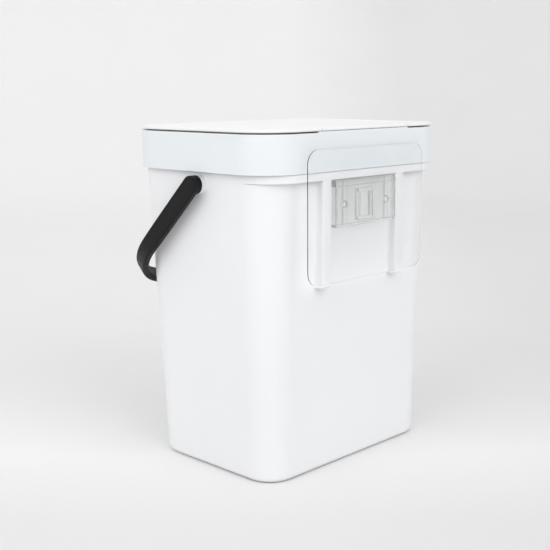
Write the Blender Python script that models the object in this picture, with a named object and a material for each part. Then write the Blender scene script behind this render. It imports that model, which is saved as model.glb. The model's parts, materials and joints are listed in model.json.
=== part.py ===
"""Lidded kitchen caddy that stands or hangs on a wall, with a hinged lid, a bail handle and a clear bracket.

Metres, +Z up. The origin is on the underside of the bucket, midway between the lid frame's sides and midway
between its front and back. The back, with the hinge and the bracket, faces +Y.
"""

import math

import bmesh
import bpy
from mathutils import Matrix, Vector

# Driving dimensions.
WIDTH = 0.250  # across the lid frame
DEPTH = 0.190  # lid frame, front to back
FRAME_BOTTOM = 0.2777
FRAME_TOP = 0.3119
FRAME_RADIUS = 0.039  # vertical corners, seen from above
GAP = 0.0003  # between pieces that touch
CORNER_STEPS = 6
ELBOW_STEPS = 9
ROUND_SHARE = 0.3  # where the middle point of a small rounded edge sits
CUT_OVER = 0.0020  # how far a cutter passes the surface that it opens
SINK = 0.0020  # how far a raised shape starts inside the one it stands on
STEP_BACK = 0.0001  # keeps two faces from lying in one plane
NEAR = 0.0010  # points closer than this count as level

# Bucket: (half width, front y, back y, corner radius), at the floor and under the lid frame.
BASE_OUTLINE = (0.1105, -0.0758, 0.0800, 0.026)
TOP_OUTLINE = (0.1196, -0.0906, 0.0876, 0.033)
WALL = 0.0020
FLOOR = 0.0026
FOOT_RADIUS = 0.005
RIM_TOP = 0.3088

# Thickened band at the back of the bucket, the two ribs below it, and the slot for the bracket's tongue.
BACK_PLANE = 0.0943
LEDGE_BOTTOM = 0.2700
LEDGE_FRONT = -0.0200
LEDGE_SIDE_STEP = 0.0002
LEDGE_RADIUS = 0.036
RIB_INNER = 0.0450
RIB_OUTER = 0.0570
RIB_BOTTOM = 0.1745
RIB_EDGE = 0.0018
SLOT_HALF = 0.0415
SLOT_FRONT = 0.0886
SLOT_BACK = 0.0922

# Lid frame: an upside-down U that sits over the bucket's rim.
FRAME_WALL = 0.0024
FRAME_WEB = 0.0026
FRAME_EDGE = 0.0009
LEG_BOTTOM = 0.2960
LEG_GAP = 0.0004
LEG_WALL = 0.0020

# Lid.
LID_GAP = 0.0013
LID_THICK = 0.0024
LID_EDGE = 0.0004
LID_ROUND = 0.0012  # lower edge, which is also the hinge's barrel
PLUG_GAP = 0.0010
PLUG_WALL = 0.0016
PLUG_DEPTH = 0.0060
DISH_START = 0.0090
DISH_END = 0.0125
DISH_DEPTH = 0.0007

# Lid hinge: the lid's back edge turns on two wire pins held by ears on the lid frame.
HINGE_Y = 0.0938
HINGE_Z = 0.3144
PIN_RADIUS = 0.00055
PIN_GAP = 0.00015
PIN_INNER = 0.0440
EAR_INNER = 0.0580
EAR_OUTER = 0.0620
EAR_HALF = 0.0011
EAR_TOP = 0.3152
EAR_GAP = 0.0005
RIDGE_FRONT = 0.0912
RIDGE_TOP = 0.3129

# Bail handle, drawn pointing forwards and then turned down about its pivots.
PIVOT_Y = 0.0044
PIVOT_Z = 0.2663
HANDLE_ANGLE = math.radians(44.1)
HANDLE_LENGTH = 0.1444  # pivot to the middle of the crossbar
HANDLE_INNER = 0.1264  # inner face of an arm
HUB_INNER = 0.1222  # inner face of the thicker pivot end
STRAP_WIDTH = 0.0122
STRAP_THICK = 0.0060
ELBOW_RADIUS = 0.0620  # outer face
PEG_RADIUS = 0.0035
PEG_HEAD_RADIUS = 0.0046
PEG_HEAD_LENGTH = 0.0018
BOSS_RADIUS = 0.0080

# Bracket, its pad and the clear plate that the pad holds it to.
BRACKET_HALF = 0.0430
BRACKET_BOTTOM = 0.2275
BRACKET_TOP = LEDGE_BOTTOM - GAP
BRACKET_BACK = 0.0960
BRACKET_PLATE = 0.0022
BRACKET_FRONT = 0.0908
BRACKET_WALL = 0.0016
TONGUE_BACK = SLOT_BACK - GAP
TONGUE_FRONT = SLOT_FRONT + GAP
TONGUE_HALF = 0.0405
TONGUE_TOP = 0.2880
WINDOW_HALF = 0.0085
WINDOW_BOTTOM = 0.2345
WINDOW_TOP = 0.2575
WINDOW_FRAME = 0.0030
SCREW_X = 0.0292
SCREW_Z = 0.2475
SCREW_RADIUS = 0.0028
SCREW_BOSS = 0.0058
LIP = 0.0012
SHOULDER = 0.0060
BOSS_STEP = 0.0010  # the screw bosses are lower than the side walls
BACK_STEP = 0.0004  # the bracket's inner shapes stop short of its back face
PAD_INSET = 0.0020
PAD_RADIUS = 0.0020
PAD_THICK = 0.0007
PLATE_HALF = 0.0805
PLATE_BOTTOM = 0.1790
PLATE_TOP = 0.2980
PLATE_THICK = 0.0010
PLATE_RADIUS = 0.013


def clear_scene():
    for obj in list(bpy.data.objects):
        bpy.data.objects.remove(obj, do_unlink=True)


def material(name, colour, roughness, metallic=0.0, alpha=1.0):
    made = bpy.data.materials.new(name)
    made.use_nodes = True
    shader = made.node_tree.nodes["Principled BSDF"]
    shader.inputs["Base Color"].default_value = (*colour, 1.0)
    shader.inputs["Roughness"].default_value = roughness
    shader.inputs["Metallic"].default_value = metallic
    shader.inputs["Alpha"].default_value = alpha
    return made


def outline(half_x, front, back, radius, z):
    """A rounded rectangle at height z, anticlockwise from its right side, as a list of points."""
    corners = (
        (half_x - radius, back - radius, 0),
        (radius - half_x, back - radius, 90),
        (radius - half_x, front + radius, 180),
        (half_x - radius, front + radius, 270),
    )
    points = []
    for centre_x, centre_y, start in corners:
        for step in range(CORNER_STEPS + 1):
            angle = math.radians(start + 90 * step / CORNER_STEPS)
            x = centre_x + radius * math.cos(angle)
            y = centre_y + radius * math.sin(angle)
            points.append(Vector((x, y, z)))
    return points


def inset(shape, distance):
    half_x, front, back, radius = shape
    return (half_x - distance, front + distance, back - distance, radius - distance)


def body_shape(z):
    """The bucket's outer outline at height z. It tapers up to the lid frame and runs straight behind it."""
    share = min(z / FRAME_BOTTOM, 1.0)
    return tuple(low + (high - low) * share for low, high in zip(BASE_OUTLINE, TOP_OUTLINE))


def new_object(name, mesh, paint=None):
    obj = bpy.data.objects.new(name, mesh)
    bpy.context.scene.collection.objects.link(obj)
    if paint:
        mesh.materials.append(paint)
    return obj


def loft(name, rings, paint=None, closed=False):
    """A solid through rings of equal length: capped at both ends or, when closed, joined end to end."""
    shape = bmesh.new()
    rows = [[shape.verts.new(point) for point in ring] for ring in rings]
    pairs = list(zip(rows, rows[1:]))
    if closed:
        pairs.append((rows[-1], rows[0]))
    else:
        shape.faces.new(rows[0])
        shape.faces.new(rows[-1])
    for lower, upper in pairs:
        for here in range(len(lower)):
            there = (here + 1) % len(lower)
            shape.faces.new((lower[here], lower[there], upper[there], upper[here]))
    bmesh.ops.recalc_face_normals(shape, faces=shape.faces)
    mesh = bpy.data.meshes.new(name)
    shape.to_mesh(mesh)
    shape.free()
    return new_object(name, mesh, paint)


def box(name, low, high):
    (left, front, bottom), (right, back, top) = low, high
    corners = ((left, front), (right, front), (right, back), (left, back))
    return loft(name, [[Vector((x, y, z)) for x, y in corners] for z in (bottom, top)])


def rod(name, start, end, radius, sides=24, axis="X"):
    """A round bar along X or Y, from start to end, both given as points."""
    rings = []
    for point in (start, end):
        ring = []
        for side in range(sides):
            angle = math.tau * (side + 0.5) / sides
            across = radius * math.cos(angle)
            up = radius * math.sin(angle)
            offset = (0, across, up) if axis == "X" else (across, 0, up)
            ring.append(Vector(point) + Vector(offset))
        rings.append(ring)
    return loft(name, rings)


def combine(target, helper, operation):
    """Adds helper to target, or takes it away. The helper stays in the file as a hidden wire shape."""
    helper.hide_render = True
    helper.display_type = "WIRE"
    step = target.modifiers.new(helper.name, "BOOLEAN")
    step.operation = operation
    step.solver = "EXACT"
    step.object = helper


def shade(obj, degrees=35):
    obj.data.shade_smooth()
    obj.data.set_sharp_from_angle(angle=math.radians(degrees))


def chamfer(obj, width, choose):
    """Bevels the edges of obj for which choose(start, end) is true."""
    shape = bmesh.new()
    shape.from_mesh(obj.data)
    edges = [edge for edge in shape.edges if choose(edge.verts[0].co, edge.verts[1].co)]
    bmesh.ops.bevel(shape, geom=edges, offset=width, segments=2, profile=0.5, affect="EDGES")
    shape.to_mesh(obj.data)
    shape.free()


def quarter(radius, steps=3):
    """(inset, rise) pairs of a rounded edge that starts flat and ends upright."""
    angles = [math.pi / 2 * step / steps for step in range(steps + 1)]
    return [(radius * (1 - math.sin(angle)), radius * (1 - math.cos(angle))) for angle in angles]


def make_bucket(paint):
    outer = [outline(*inset(body_shape(0), side), rise) for side, rise in quarter(FOOT_RADIUS)]
    outer.append(outline(*body_shape(FRAME_BOTTOM), FRAME_BOTTOM))
    outer.append(outline(*body_shape(RIM_TOP), RIM_TOP))
    bucket = loft("bucket", outer, paint)

    half_x = body_shape(LEDGE_BOTTOM)[0] - LEDGE_SIDE_STEP
    ledge_shape = (half_x, LEDGE_FRONT, BACK_PLANE, LEDGE_RADIUS)
    heights = (LEDGE_BOTTOM, FRAME_BOTTOM - GAP)
    combine(bucket, loft("ledge_shape", [outline(*ledge_shape, z) for z in heights]), "UNION")

    wall_y = body_shape(RIB_BOTTOM)[2] - WALL / 2
    for side, name in ((1, "left"), (-1, "right")):
        low = (min(side * RIB_INNER, side * RIB_OUTER), wall_y, RIB_BOTTOM)
        high = (max(side * RIB_INNER, side * RIB_OUTER), BACK_PLANE, (LEDGE_BOTTOM + FRAME_BOTTOM) / 2)
        rib = box(f"rib_shape_{name}", low, high)
        chamfer(rib, RIB_EDGE, lambda a, b: min(a.y, b.y) > wall_y + NEAR and abs(a.x - b.x) < NEAR)
        combine(bucket, rib, "UNION")
        start = (side * (body_shape(PIVOT_Z)[0] - WALL / 2), PIVOT_Y, PIVOT_Z)
        end = (side * (HUB_INNER - GAP), PIVOT_Y, PIVOT_Z)
        combine(bucket, rod(f"boss_shape_{name}", start, end, BOSS_RADIUS), "UNION")

    hollow = []
    for side, rise in quarter(FOOT_RADIUS - WALL):
        height = FLOOR + rise
        hollow.append(outline(*inset(body_shape(height), WALL + side), height))
    hollow.append(outline(*inset(body_shape(FRAME_BOTTOM), WALL), FRAME_BOTTOM))
    hollow.append(outline(*inset(body_shape(FRAME_TOP), WALL), FRAME_TOP + CUT_OVER))
    combine(bucket, loft("hollow_shape", hollow), "DIFFERENCE")

    slot_low = (-SLOT_HALF, SLOT_FRONT, LEDGE_BOTTOM - CUT_OVER)
    slot_high = (SLOT_HALF, SLOT_BACK, FRAME_BOTTOM + CUT_OVER)
    combine(bucket, box("slot_shape", slot_low, slot_high), "DIFFERENCE")
    for side, name in ((1, "left"), (-1, "right")):
        start = (side * (body_shape(PIVOT_Z)[0] - WALL - CUT_OVER), PIVOT_Y, PIVOT_Z)
        end = (side * (HUB_INNER + CUT_OVER), PIVOT_Y, PIVOT_Z)
        combine(bucket, rod(f"peg_hole_{name}", start, end, PEG_RADIUS + GAP), "DIFFERENCE")
    shade(bucket)
    return bucket


def frame_shape():
    return (WIDTH / 2, -DEPTH / 2, DEPTH / 2, FRAME_RADIUS)


def leg_shape():
    """Outer outline of the lid frame's inner leg, just inside the bucket's wall."""
    return inset(body_shape(FRAME_TOP), WALL + LEG_GAP)


def mirrored(low_x, high_x):
    """(name, low x, high x) of a span on the left, which is +X, and of its mirror image on the right."""
    return (("left", low_x, high_x), ("right", -high_x, -low_x))


def make_lid_frame(paint):
    outer = frame_shape()
    inner = leg_shape()
    under = FRAME_TOP - FRAME_WEB
    rings = [
        outline(*inset(outer, FRAME_WALL), FRAME_BOTTOM),
        outline(*outer, FRAME_BOTTOM),
        outline(*outer, FRAME_TOP - FRAME_EDGE),
        outline(*inset(outer, FRAME_EDGE * ROUND_SHARE), FRAME_TOP - FRAME_EDGE * ROUND_SHARE),
        outline(*inset(outer, FRAME_EDGE), FRAME_TOP),
        outline(*inset(inner, LEG_WALL), FRAME_TOP),
        outline(*inset(inner, LEG_WALL), LEG_BOTTOM),
        outline(*inner, LEG_BOTTOM),
        outline(*inner, under),
        outline(*inset(outer, FRAME_WALL), under),
    ]
    frame = loft("lid_frame", rings, paint, closed=True)

    back = DEPTH / 2 - STEP_BACK
    ridge_low = (-EAR_OUTER, RIDGE_FRONT, FRAME_TOP - SINK)
    combine(frame, box("ridge_shape", ridge_low, (EAR_OUTER, back, RIDGE_TOP)), "UNION")
    for name, low, high in mirrored(EAR_INNER, EAR_OUTER - STEP_BACK):
        ear_low = (low, HINGE_Y - EAR_HALF, FRAME_TOP - SINK / 2)
        ear_high = (high, HINGE_Y + EAR_HALF, EAR_TOP)
        combine(frame, box(f"ear_shape_{name}", ear_low, ear_high), "UNION")
        start = (low - CUT_OVER, HINGE_Y, HINGE_Z)
        end = (high + CUT_OVER, HINGE_Y, HINGE_Z)
        combine(frame, rod(f"ear_hole_{name}", start, end, PIN_RADIUS + PIN_GAP, 16), "DIFFERENCE")
    shade(frame)
    return frame


def make_lid(paint):
    outer = frame_shape()
    plug = inset(leg_shape(), LEG_WALL + PLUG_GAP)
    under = FRAME_TOP + LID_GAP
    top = under + LID_THICK
    rings = [
        outline(*inset(plug, PLUG_WALL), under),
        outline(*inset(plug, PLUG_WALL), under - PLUG_DEPTH),
        outline(*plug, under - PLUG_DEPTH),
        outline(*plug, under),
        *(outline(*inset(outer, side), under + rise) for side, rise in quarter(LID_ROUND)),
        outline(*outer, top - LID_EDGE),
        outline(*inset(outer, LID_EDGE * ROUND_SHARE), top - LID_EDGE * ROUND_SHARE),
        outline(*inset(outer, LID_EDGE), top),
        outline(*inset(outer, DISH_START), top),
        outline(*inset(outer, DISH_END), top - DISH_DEPTH),
    ]
    lid = loft("lid", rings, paint)
    for name, low, high in mirrored(EAR_INNER - GAP, EAR_OUTER + GAP):
        cut_low = (low, HINGE_Y - EAR_HALF - EAR_GAP, under - CUT_OVER)
        cut_high = (high, DEPTH / 2 + CUT_OVER, top + CUT_OVER)
        combine(lid, box(f"ear_cut_{name}", cut_low, cut_high), "DIFFERENCE")
    for name, low, high in mirrored(PIN_INNER - GAP, EAR_OUTER):
        start = (low, HINGE_Y, HINGE_Z)
        end = (high, HINGE_Y, HINGE_Z)
        combine(lid, rod(f"barrel_hole_{name}", start, end, PIN_RADIUS + PIN_GAP, 16), "DIFFERENCE")
    set_origin(lid, (0, HINGE_Y, HINGE_Z))
    shade(lid)
    return lid


def make_hinge_pins(paint):
    for name, low, high in mirrored(PIN_INNER, EAR_OUTER - GAP):
        pin = rod(f"hinge_pin_{name}", (low, HINGE_Y, HINGE_Z), (high, HINGE_Y, HINGE_Z), PIN_RADIUS, 16)
        pin.data.materials.append(paint)
        shade(pin)


def bail_outline(reach, radius):
    """One side of the bail's bent strap, seen from above: eye, elbow, crossbar, elbow, eye."""
    half = HANDLE_INNER + STRAP_THICK - reach
    front = -(HANDLE_LENGTH + STRAP_THICK / 2 - reach)
    points = [(half, 0.0)]
    for step in range(ELBOW_STEPS + 1):
        angle = math.pi / 2 * step / ELBOW_STEPS
        across = half - radius + radius * math.cos(angle)
        along = front + radius - radius * math.sin(angle)
        points.append((across, along))
    return points + [(-across, along) for across, along in reversed(points)]


def make_handle(paint):
    outer = bail_outline(0, ELBOW_RADIUS)
    inner = bail_outline(STRAP_THICK, ELBOW_RADIUS - STRAP_THICK)
    half_width = STRAP_WIDTH / 2
    rings = []
    for (out_x, out_y), (in_x, in_y) in zip(outer, inner):
        rings.append(
            [
                Vector((out_x, out_y, -half_width)),
                Vector((out_x, out_y, half_width)),
                Vector((in_x, in_y, half_width)),
                Vector((in_x, in_y, -half_width)),
            ]
        )
    handle = loft("handle", rings, paint)
    head_x = body_shape(PIVOT_Z)[0] - WALL - 2 * GAP
    for side, name in ((1, "left"), (-1, "right")):
        eye = (side * HUB_INNER, 0, 0)
        face = (side * (HANDLE_INNER + STRAP_THICK), 0, 0)
        combine(handle, rod(f"hub_shape_{name}", eye, face, half_width, 32), "UNION")
        root = (side * (HUB_INNER + SINK), 0, 0)
        head = (side * head_x, 0, 0)
        tip = (side * (head_x - PEG_HEAD_LENGTH), 0, 0)
        combine(handle, rod(f"peg_shape_{name}", root, tip, PEG_RADIUS), "UNION")
        combine(handle, rod(f"peg_head_{name}", head, tip, PEG_HEAD_RADIUS), "UNION")
    handle.location = (0, PIVOT_Y, PIVOT_Z)
    handle.rotation_euler = (HANDLE_ANGLE, 0, 0)
    for step in handle.modifiers:
        step.object.parent = handle
    shade(handle)
    return handle


def make_bracket(paint):
    back_face = BRACKET_BACK - BRACKET_PLATE
    low = (-BRACKET_HALF, back_face, BRACKET_BOTTOM)
    high = (BRACKET_HALF, BRACKET_BACK, BRACKET_TOP)
    bracket = box("wall_bracket", low, high)
    bracket.data.materials.append(paint)
    inner = BRACKET_HALF - BRACKET_WALL
    frame_half = WINDOW_HALF + WINDOW_FRAME
    adds = {
        "side_left": ((inner, BRACKET_FRONT, BRACKET_BOTTOM), (BRACKET_HALF, BRACKET_BACK, BRACKET_TOP)),
        "side_right": ((-BRACKET_HALF, BRACKET_FRONT, BRACKET_BOTTOM), (-inner, BRACKET_BACK, BRACKET_TOP)),
        "lip": (
            (-BRACKET_HALF, SLOT_FRONT, BRACKET_BOTTOM - LIP),
            (BRACKET_HALF, BRACKET_BACK, BRACKET_BOTTOM + BRACKET_WALL),
        ),
        "shoulder": (
            (-TONGUE_HALF, TONGUE_FRONT, BRACKET_TOP - SHOULDER),
            (TONGUE_HALF, BRACKET_BACK - BACK_STEP, BRACKET_TOP),
        ),
        "tongue": (
            (-TONGUE_HALF, TONGUE_FRONT, BRACKET_TOP - 2 * SINK),
            (TONGUE_HALF, TONGUE_BACK, TONGUE_TOP),
        ),
        "window_frame": (
            (-frame_half, BRACKET_FRONT, WINDOW_BOTTOM - WINDOW_FRAME),
            (frame_half, BRACKET_BACK, WINDOW_TOP + WINDOW_FRAME),
        ),
    }
    for name, (low, high) in adds.items():
        combine(bracket, box(f"{name}_shape", low, high), "UNION")
    for side, name in ((1, "left"), (-1, "right")):
        near = (side * SCREW_X, BRACKET_FRONT + BOSS_STEP, SCREW_Z)
        far = (side * SCREW_X, BRACKET_BACK - BACK_STEP, SCREW_Z)
        combine(bracket, rod(f"screw_boss_{name}", near, far, SCREW_BOSS, axis="Y"), "UNION")
    window_low = (-WINDOW_HALF, SLOT_FRONT - CUT_OVER, WINDOW_BOTTOM)
    window_high = (WINDOW_HALF, BRACKET_BACK + CUT_OVER, WINDOW_TOP)
    combine(bracket, box("window_shape", window_low, window_high), "DIFFERENCE")
    for side, name in ((1, "left"), (-1, "right")):
        near = (side * SCREW_X, SLOT_FRONT, SCREW_Z)
        far = (side * SCREW_X, BRACKET_BACK + CUT_OVER, SCREW_Z)
        combine(bracket, rod(f"screw_hole_{name}", near, far, SCREW_RADIUS, axis="Y"), "DIFFERENCE")
    shade(bracket)
    return bracket


def sheet(name, half_x, bottom, top, radius, near_y, thick, paint):
    """A flat sheet with rounded corners that stands in the XZ plane."""
    upright = Matrix.Rotation(math.radians(90), 4, "X")
    faces = []
    for depth in (0, -thick):
        flat = outline(half_x, bottom, top, radius, depth)
        faces.append([upright @ point + Vector((0, near_y, 0)) for point in flat])
    made = loft(name, faces, paint)
    shade(made)
    return made


def set_origin(obj, pivot):
    """Moves obj's origin, and those of its helpers, to pivot without moving any surface."""
    back = Matrix.Translation(-Vector(pivot))
    obj.data.transform(back)
    obj.location = pivot
    for step in obj.modifiers:
        step.object.data.transform(back)
        step.object.parent = obj


def main():
    clear_scene()
    white = material("bucket_white", (0.86, 0.86, 0.87), 0.42)
    cool_white = material("frame_white", (0.80, 0.83, 0.86), 0.45)
    lid_white = material("lid_white", (0.86, 0.87, 0.88), 0.40)
    dark = material("handle_black", (0.025, 0.025, 0.028), 0.45)
    steel = material("pin_steel", (0.62, 0.63, 0.65), 0.30, metallic=1.0)
    clear = material("clear_plastic", (0.90, 0.92, 0.93), 0.08, alpha=0.35)
    make_bucket(white)
    make_lid_frame(cool_white)
    make_lid(lid_white)
    make_hinge_pins(steel)
    make_handle(dark)
    make_bracket(clear)
    pad_y = BRACKET_BACK + GAP
    pad_span = (BRACKET_BOTTOM + PAD_INSET, BRACKET_TOP - PAD_INSET)
    sheet("bracket_pad", BRACKET_HALF - PAD_INSET, *pad_span, PAD_RADIUS, pad_y, PAD_THICK, clear)
    plate_y = pad_y + PAD_THICK + GAP
    sheet("adhesive_plate", PLATE_HALF, PLATE_BOTTOM, PLATE_TOP, PLATE_RADIUS, plate_y, PLATE_THICK, clear)


main()
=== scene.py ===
"""Lidded kitchen caddy with a black bail handle and a clear wall bracket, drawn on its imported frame."""

import json
import math

import bmesh
import bpy
from bpy.props import FloatProperty, FloatVectorProperty, IntProperty, PointerProperty
from bpy.types import Operator, Panel, PropertyGroup
from mathutils import Matrix, Vector


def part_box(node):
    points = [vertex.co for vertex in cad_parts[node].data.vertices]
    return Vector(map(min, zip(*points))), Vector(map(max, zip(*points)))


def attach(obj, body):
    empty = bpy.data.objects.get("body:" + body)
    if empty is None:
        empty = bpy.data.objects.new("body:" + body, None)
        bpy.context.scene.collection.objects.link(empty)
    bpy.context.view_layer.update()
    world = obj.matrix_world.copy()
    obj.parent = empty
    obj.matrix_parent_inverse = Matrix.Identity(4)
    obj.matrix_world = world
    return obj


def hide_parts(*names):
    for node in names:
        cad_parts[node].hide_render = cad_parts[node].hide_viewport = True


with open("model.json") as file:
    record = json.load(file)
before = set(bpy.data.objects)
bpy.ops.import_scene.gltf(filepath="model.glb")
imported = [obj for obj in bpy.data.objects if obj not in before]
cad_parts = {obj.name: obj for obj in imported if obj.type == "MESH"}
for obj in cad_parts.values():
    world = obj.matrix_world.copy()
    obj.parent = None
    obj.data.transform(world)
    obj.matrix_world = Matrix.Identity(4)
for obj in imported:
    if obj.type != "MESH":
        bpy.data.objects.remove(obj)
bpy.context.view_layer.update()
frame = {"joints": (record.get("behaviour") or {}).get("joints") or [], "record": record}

bl_info = {
    "name": "Kitchen caddy",
    "version": (1, 0, 0),
    "blender": (4, 5, 0),
    "location": "3D View > Sidebar > Caddy",
    "description": "Builds a lidded kitchen caddy with its handle, wall bracket and stage",
    "category": "Object",
}

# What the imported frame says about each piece: (lowest corner, highest corner).
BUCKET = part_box("bucket")
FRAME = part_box("lid_frame")
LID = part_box("lid")
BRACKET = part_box("wall_bracket")
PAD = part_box("bracket_pad")
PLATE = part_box("adhesive_plate")
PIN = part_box("hinge_pin_left")
JOINTS = {joint["name"]: joint for joint in frame["joints"]}
PIVOT = Vector(JOINTS["handle_swing"]["pos_m"])
HINGE = Vector(JOINTS["lid_hinge"]["pos_m"])
SLOT_COLOURS = {item["slot"]: item["base_color"] for item in frame["record"]["materials"]}
SIDES = (("left", 1), ("right", -1))  # left is +X

CLOSE = 1e-6  # points nearer than this are one point
HAIR = 0.00001  # joined shapes keep their faces a few hairs off each other's planes
CUT_OVER = 0.002  # how far a cutter passes the surface that it opens
SINK = 0.001  # how far a raised shape starts inside the one it stands on
GAP = 0.0003  # play between pieces that fit into each other
SHARP = math.radians(32)  # an edge that bends more than this stays sharp
FARTHEST = 0.02  # longest way that a wall point moves out to the ledge
HALVINGS = 40  # rounds of the search for that way

# Rounded or hollow corners, as pairs of a height or depth and a distance across it.
LEDGE_HOLLOW = ((-0.0008, 0.0), (-0.0002, 0.0003), (0.0, 0.0010))
RIM_EDGE = ((0.0006, 0.0), (0.0002, 0.0002), (0.0, 0.0006))
BOSS_FOOT = ((0.0002, 0.0004), (0.0007, 0.0))
# Heights of the rings between the corners. The bail's arm rings count from its pivots, its bar ring
# from the elbow.
WALL_LEVELS = (0.03, 0.07, 0.11, 0.15, 0.19, 0.23, 0.255)
INNER_LEVELS = (0.22, 0.15, 0.08)
FRAME_LEVELS = (0.012, 0.024)
RIB_LEVELS = (0.035, 0.07)
ARM_STOPS = (0.0, 0.02, 0.05, 0.075)
BAR_STOP = 0.03

# The floor's painted light and shade: its grey at distances in front of the caddy, towards the camera, and
# behind it. The grey darkens towards the camera and just behind the caddy as painted shade and shadow, and
# brightens towards the backdrop as painted light.
PAINTED_FLOOR_SHADING = ((0.30, 0.690), (0.20, 0.722), (0.05, 0.828), (-0.15, 0.795), (-0.97, 0.880), (-2.20, 0.950))


def maker(kind, **settings):
    """A function that makes one kind of property from a name, a default and, if need be, a description."""

    def make(name, default, description=""):
        return kind(name=name, description=description or name, default=default, **settings)

    return make


length = maker(FloatProperty, unit="LENGTH", precision=5)
angle = maker(FloatProperty, subtype="ANGLE", precision=4)
number = maker(FloatProperty, precision=4)
share = maker(FloatProperty, min=0, max=1, subtype="FACTOR")
count = maker(IntProperty, min=1)
colour = maker(FloatVectorProperty, size=3, min=0, max=1, subtype="COLOR")


class BucketSizes(PropertyGroup):
    base_half: length("Base half width", 0.1105)
    base_front: length("Base front", -0.0758)
    base_back: length("Base back", 0.0800)
    base_radius: length("Base corner radius", 0.026)
    top_half: length("Top half width", 0.1196)
    top_front: length("Top front", BUCKET[0].y)
    top_back: length("Top back", 0.0876)
    top_radius: length("Top corner radius", 0.033)
    wall: length("Wall thickness", 0.0020)
    floor: length("Floor thickness", 0.0026)
    foot: length("Foot radius", 0.005, "Rounded edge between the walls and the underside")
    base_recess: length("Base recess", 0.0006, "How far the underside stands up inside its rim")
    base_rim: length("Base rim", 0.006, "Width of the flat rim that the bucket stands on")
    base_slope: length("Base slope", 0.0010, "Width of the slope from the rim to the recess")
    ledge_bottom: length("Ledge bottom", 0.2700)
    ledge_front: length("Ledge front", -0.020)
    ledge_radius: length("Ledge corner radius", 0.036)
    ledge_round: length("Ledge edge", 0.0011)
    ledge_lap: length("Ledge lap", 0.0002, "How far the ledge's ends stay inside the wall")
    rib_inner: length("Rib inner side", 0.0450)
    rib_outer: length("Rib outer side", 0.0570)
    rib_bottom: length("Rib bottom", 0.1745)
    rib_round: length("Rib edge", 0.0022)
    rib_fillet: length("Rib fillet", 0.0028, "Hollow corner where a rib meets the wall")
    rib_foot: length("Rib foot", 0.0016)
    rib_root: length("Rib root", 0.0006, "How far a rib reaches into the wall")
    rib_lap: length("Rib lap", 0.0030, "How far a rib reaches up into the ledge")
    slot_half: length("Slot half width", 0.0415)
    slot_front: length("Slot front", 0.0886)
    slot_back: length("Slot back", 0.0922)
    boss_radius: length("Pivot boss radius", 0.0080)
    boss_edge: length("Pivot boss edge", 0.0006)
    hole_radius: length("Peg hole radius", 0.0038)
    corner_steps: count("Corner steps", 16)


class FrameAndLidSizes(PropertyGroup):
    corner: length("Corner radius", 0.039)
    frame_wall: length("Frame wall", 0.0024)
    frame_web: length("Frame web", 0.0026)
    frame_edge: length("Frame top edge", 0.0009)
    frame_under: length("Frame lower edge", 0.0004)
    frame_top: length("Frame top", 0.3119)
    leg_bottom: length("Inner leg bottom", 0.2960)
    leg_gap: length("Inner leg gap", 0.0004)
    leg_wall: length("Inner leg wall", 0.0020)
    leg_edge: length("Inner leg edge", 0.0005)
    ridge_front: length("Hinge ridge front", 0.0912)
    ridge_top: length("Hinge ridge top", 0.3129)
    ridge_half: length("Hinge ridge half width", 0.0620)
    ridge_edge: length("Hinge ridge edge", 0.0003)
    ear_width: length("Ear width", 0.0040)
    ear_half: length("Ear half depth", 0.0011)
    ear_back: length("Ear neck setback", 0.0002, "How far an ear's neck stops in front of the hinge line")
    ear_room: length("Ear room", 0.0005, "Gap in front of an ear in the lid's notch")
    lid_gap: length("Gap under the lid", 0.0013)
    lid_round: length("Lid lower edge", 0.0012, "Rolled lower edge, which is also the hinge's barrel")
    lid_edge: length("Lid upper edge", 0.0005)
    plug_gap: length("Skirt gap", 0.0010)
    plug_wall: length("Skirt wall", 0.0016)
    plug_slope: length("Skirt slope", 0.0008, "Bevel where the skirt's inside meets the lid")
    plug_outer: length("Skirt outer edge", 0.0006)
    plug_inner: length("Skirt inner edge", 0.0004)
    dish_start: length("Dish start", 0.0090, "Distance from the lid's edge to where it starts to sink")
    dish_end: length("Dish end", 0.0125)
    dish_depth: length("Dish depth", 0.0007)
    dish_steps: count("Dish steps", 8)
    bore: length("Pin bore radius", 0.0007)
    pin_chamfer: share("Pin chamfer", 0.3, "Share of a pin's radius that its ends are bevelled by")


class HandleSizes(PropertyGroup):
    tilt: angle("Resting angle", math.radians(44.1), "How far the handle hangs below level")
    reach: length("Pivot to crossbar", 0.1444)
    inner: length("Arm inner face", 0.1264)
    hub_inner: length("Hub inner face", 0.1242)
    hub_radius: length("Hub radius", 0.0084)
    hub_edge: length("Hub edge", 0.0007)
    hub_step: length("Hub step", 0.0004, "Height of each of the hub's two steps up to the arm")
    arm_width: length("Arm width", 0.0168)
    strap_width: length("Crossbar width", 0.0142)
    narrow_from: length("Narrowing start", 0.0600, "Distance from the pivots to where the arms narrow")
    narrow_to: length("Narrowing end", 0.1350)
    strap_thick: length("Strap thickness", 0.0069)
    strap_edge: length("Strap edge", 0.0016)
    elbow: length("Elbow radius", 0.0620)
    peg_radius: length("Peg radius", 0.0035)
    head_radius: length("Peg head radius", 0.0046)
    head_length: length("Peg head length", 0.0018)
    head_edge: length("Peg head edge", 0.0006)
    head_gap: length("Peg head gap", 0.0006, "Play between a peg's head and the wall inside the bucket")
    elbow_steps: count("Elbow steps", 24)


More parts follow.
